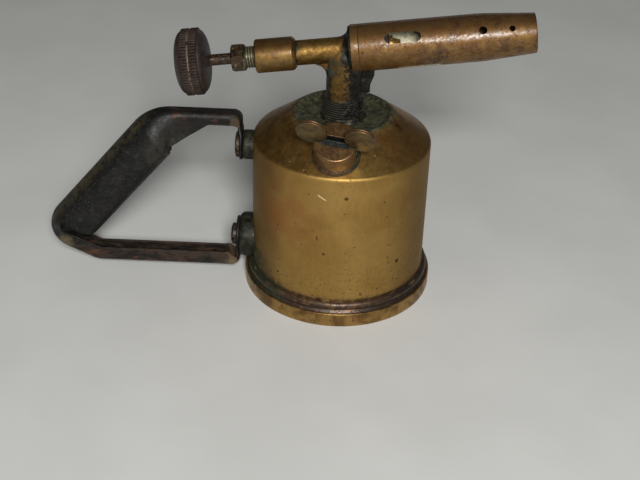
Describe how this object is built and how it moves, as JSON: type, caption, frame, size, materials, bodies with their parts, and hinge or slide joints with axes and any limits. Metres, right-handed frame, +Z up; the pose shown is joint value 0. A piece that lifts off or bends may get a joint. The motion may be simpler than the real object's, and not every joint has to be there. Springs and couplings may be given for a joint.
{
  "type": "blowtorch",
  "caption": "Small brass spirit blowtorch with a round tank, tilted burner barrel, screw needle valve with knurled knob, winged filler cap and pressed sheet handle.",
  "frame": {"origin": "on the tank's axis, in the plane the base stands on", "axes": "+Z up along the tank's axis, +X towards the burner's muzzle, -Y towards the filler cap"},
  "size_m": [0.217, 0.0903, 0.1355],
  "materials": {
    "tank_brass": "aged and lightly tarnished",
    "cap_brass": "coppery, worn bright on its edges",
    "valve_brass": "worn bright, with dark spots",
    "barrel_brass": "heat tarnished",
    "dark_brass": "dark with verdigris",
    "spindle_brass": "dark brown",
    "handle_steel": "black paint worn to rusty steel on the arms",
    "screw_steel": "dark, rusty",
    "knob_moulding": "dark red-black moulding",
    "washer_leather": "plain",
    "wick_cotton": "plain"
  },
  "bodies": {
    "lamp_body": {"tank_shell": "tank_brass", "tank_bottom": "tank_brass", "stem_boss": "dark_brass", "filler_bush": "dark_brass", "upper_boss": "dark_brass", "lower_boss": "dark_brass", "handle_sheet": "handle_steel", "upper_screw": "screw_steel", "lower_screw": "screw_steel", "burner_body": "dark_brass", "feed_tube": "valve_brass", "wick": "wick_cotton", "stuffing_box": "valve_brass", "gland_nut": "dark_brass", "gland_follower": "valve_brass", "gland_packing": "wick_cotton", "jet_nipple": "valve_brass", "barrel_collar": "barrel_brass", "burner_barrel": "barrel_brass", "barrel_pin": "barrel_brass"},
    "valve_spindle": {"spindle": "spindle_brass"},
    "valve_knob": {"knob": "knob_moulding", "knob_nut": "valve_brass"},
    "filler_seal": {"filler_washer": "washer_leather"},
    "filler_plug": {"filler_cap": "cap_brass", "filler_wing": "cap_brass"}
  },
  "joints": [
    {"name": "spindle_feed", "type": "slide", "parent": "lamp_body", "child": "valve_spindle", "axis": [-0.9912, 0, -0.1323], "range_m": [0, 0.0027]},
    {"name": "knob_turn", "type": "hinge", "parent": "valve_spindle", "child": "valve_knob", "pos_m": [0, 0, 0.1164], "axis": [-0.9912, 0, -0.1323], "range_deg": [0, 900]},
    {"name": "filler_lift", "type": "slide", "parent": "lamp_body", "child": "filler_seal", "axis": [-0.0405, -0.5793, 0.8141], "range_m": [0, 0.0061]},
    {"name": "filler_turn", "type": "hinge", "parent": "filler_seal", "child": "filler_plug", "pos_m": [-0.00211, -0.03013, 0.08099], "axis": [-0.0405, -0.5793, 0.8141], "range_deg": [0, 1440]}
  ],
  "couplings": [
    {"joint": "spindle_feed", "follows": "knob_turn", "m_per_rad": 0.00015915},
    {"joint": "filler_lift", "follows": "filler_turn", "m_per_rad": 0.00023873}
  ]
}
